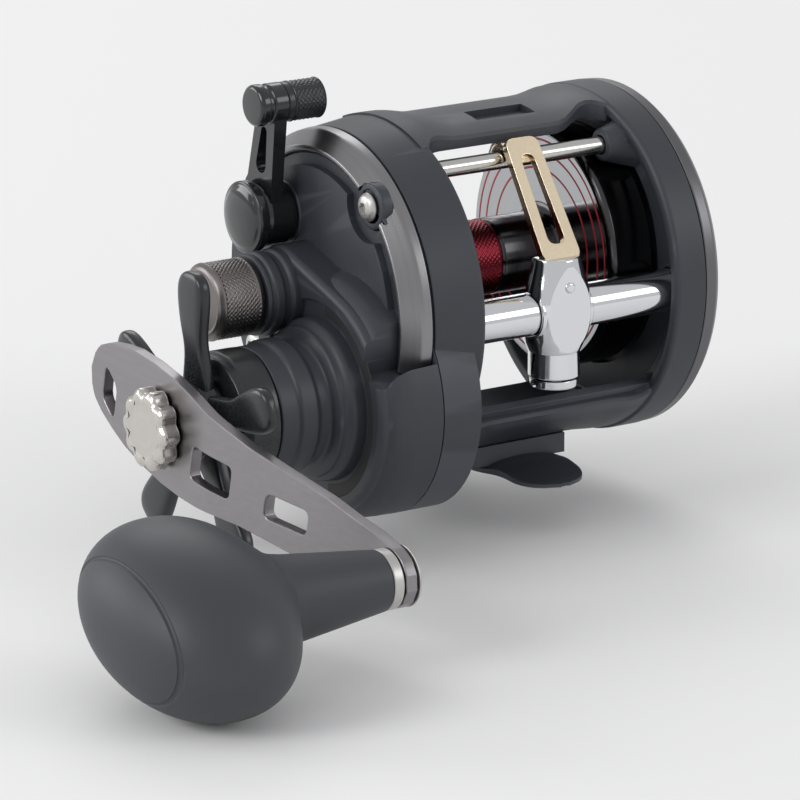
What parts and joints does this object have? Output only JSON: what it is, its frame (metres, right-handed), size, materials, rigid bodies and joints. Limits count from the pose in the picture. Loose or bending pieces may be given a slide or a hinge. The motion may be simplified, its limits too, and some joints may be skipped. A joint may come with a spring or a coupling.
{
  "type": "trolling reel",
  "caption": "Conventional level-wind trolling reel with star drag, crank handle and oval knob, free-spool lever, line guide on a worm tube, and a rod foot.",
  "frame": {"origin": "centre of the foot's underside, where it rests on the rod's reel seat", "axes": "+X along the spool's axis towards the tail plate, -X towards the handle, -Y towards the rod tip, +Z away from the rod"},
  "size_m": [0.1916, 0.1564, 0.1022],
  "materials": {
    "graphite_black": "fine matte texture",
    "gunmetal": "dark satin anodised",
    "gloss_black": "gloss black",
    "polished_black": "black, polished",
    "red_anodised": "red anodised, knurled",
    "stainless": "satin",
    "chrome": "polished",
    "brass": "machined",
    "gold_plate": "pale gold plating",
    "steel": "machined",
    "carbon_fibre": "woven, matte",
    "slate_rubber": "matte, slate grey"
  },
  "bodies": {
    "frame": {"frame": "graphite_black", "foot": "graphite_black", "foot_screw_1": "stainless", "foot_screw_2": "stainless", "head_plate": "graphite_black", "bearing_boss": "gloss_black", "roller_bearing": "steel", "trim_arc": "gunmetal", "head_screw_1": "stainless", "head_screw_2": "stainless", "tail_plate": "graphite_black", "tail_rim": "gunmetal", "tail_screw_1": "stainless", "tail_screw_2": "stainless", "tail_screw_3": "stainless", "bridge_plate": "stainless", "guide_rod": "stainless", "worm_tube": "chrome", "spool_bearing_head": "steel", "spool_bearing_tail": "steel", "yoke_spring_1": "stainless", "yoke_spring_2": "stainless"},
    "spool": {"spool": "polished_black", "arbor_sleeve": "red_anodised", "spool_shaft": "stainless", "click_gear": "brass", "spool_cog": "brass"},
    "crank": {"drive_shaft": "steel", "ratchet": "steel", "drag_plate_1": "steel", "handle_arm": "gunmetal", "handle_nut": "stainless", "knob_spindle": "stainless", "knob_washer": "stainless"},
    "main_gear": {"main_gear": "brass", "drag_washer_1": "carbon_fibre", "drag_washer_2": "carbon_fibre"},
    "star": {"star_wheel": "gloss_black", "star_spring": "steel"},
    "knob": {"knob": "slate_rubber"},
    "yoke": {"yoke": "stainless"},
    "pinion": {"pinion": "brass"},
    "lever": {"lever_shaft": "stainless", "lever_arm": "gloss_black", "lever_cap": "gloss_black", "lever_knob": "gloss_black"},
    "idler": {"idler_gear": "brass"},
    "worm": {"worm_shaft": "brass", "worm_gear": "brass"},
    "carriage": {"carriage": "chrome", "line_guide": "gold_plate", "guide_pin": "chrome", "pawl_cap": "chrome"},
    "pawl": {"pawl": "brass"},
    "tension_knob": {"tension_knob": "gunmetal"},
    "clicker": {"click_button": "polished_black", "click_tongue": "steel"},
    "dog": {"dog": "steel"}
  },
  "joints": [
    {"name": "crank_spin", "type": "hinge", "parent": "frame", "child": "crank", "pos_m": [-0.092, -0.014, 0.0242], "axis": [1, 0, 0], "continuous": true},
    {"name": "drag_slip", "type": "hinge", "parent": "crank", "child": "main_gear", "pos_m": [-0.044, -0.014, 0.0242], "axis": [1, 0, 0], "continuous": true},
    {"name": "star_turn", "type": "hinge", "parent": "crank", "child": "star", "pos_m": [-0.084, -0.014, 0.0242], "axis": [1, 0, 0], "range_deg": [-180, 360]},
    {"name": "knob_spin", "type": "hinge", "parent": "crank", "child": "knob", "pos_m": [-0.11, -0.08781, 0.00784], "axis": [1, 0, 0], "continuous": true},
    {"name": "spool_spin", "type": "hinge", "parent": "frame", "child": "spool", "pos_m": [0, 0.0025, 0.0453], "axis": [1, 0, 0], "continuous": true},
    {"name": "lever_turn", "type": "hinge", "parent": "frame", "child": "lever", "pos_m": [-0.05, 0.0125, 0.0603], "axis": [-1, 0, 0], "range_deg": [0, 50]},
    {"name": "yoke_slide", "type": "slide", "parent": "frame", "child": "yoke", "axis": [-1, 0, 0], "range_m": [0, 0.002]},
    {"name": "pinion_spin", "type": "hinge", "parent": "yoke", "child": "pinion", "pos_m": [-0.043, 0.0025, 0.0453], "axis": [1, 0, 0], "continuous": true},
    {"name": "idler_spin", "type": "hinge", "parent": "frame", "child": "idler", "pos_m": [-0.0333, -0.0145, 0.04315], "axis": [1, 0, 0], "continuous": true},
    {"name": "worm_spin", "type": "hinge", "parent": "frame", "child": "worm", "pos_m": [0, -0.0315, 0.041], "axis": [1, 0, 0], "continuous": true},
    {"name": "carriage_slide", "type": "slide", "parent": "frame", "child": "carriage", "axis": [1, 0, 0], "range_m": [-0.0165, 0.018]},
    {"name": "pawl_turn", "type": "hinge", "parent": "carriage", "child": "pawl", "pos_m": [-0.002, -0.0315, 0.033], "axis": [0, 0, 1], "range_deg": [-22, 22]},
    {"name": "tension_turn", "type": "hinge", "parent": "frame", "child": "tension_knob", "pos_m": [-0.067, 0.0025, 0.0453], "axis": [1, 0, 0], "range_deg": [-360, 360]},
    {"name": "click_slide", "type": "slide", "parent": "frame", "child": "clicker", "axis": [0, 0, 1], "range_m": [0, 0.004]},
    {"name": "dog_turn", "type": "hinge", "parent": "frame", "child": "dog", "pos_m": [-0.0366, -0.011, 0.0057], "axis": [1, 0, 0], "range_deg": [-8, 12]}
  ],
  "couplings": [
    {"joint": "spool_spin", "follows": "crank_spin", "ratio": -5.1},
    {"joint": "pinion_spin", "follows": "crank_spin", "ratio": -5.1},
    {"joint": "idler_spin", "follows": "crank_spin", "ratio": 1.1591},
    {"joint": "worm_spin", "follows": "crank_spin", "ratio": -4.25},
    {"joint": "yoke_slide", "follows": "lever_turn", "m_per_rad": 0.0022895}
  ]
}
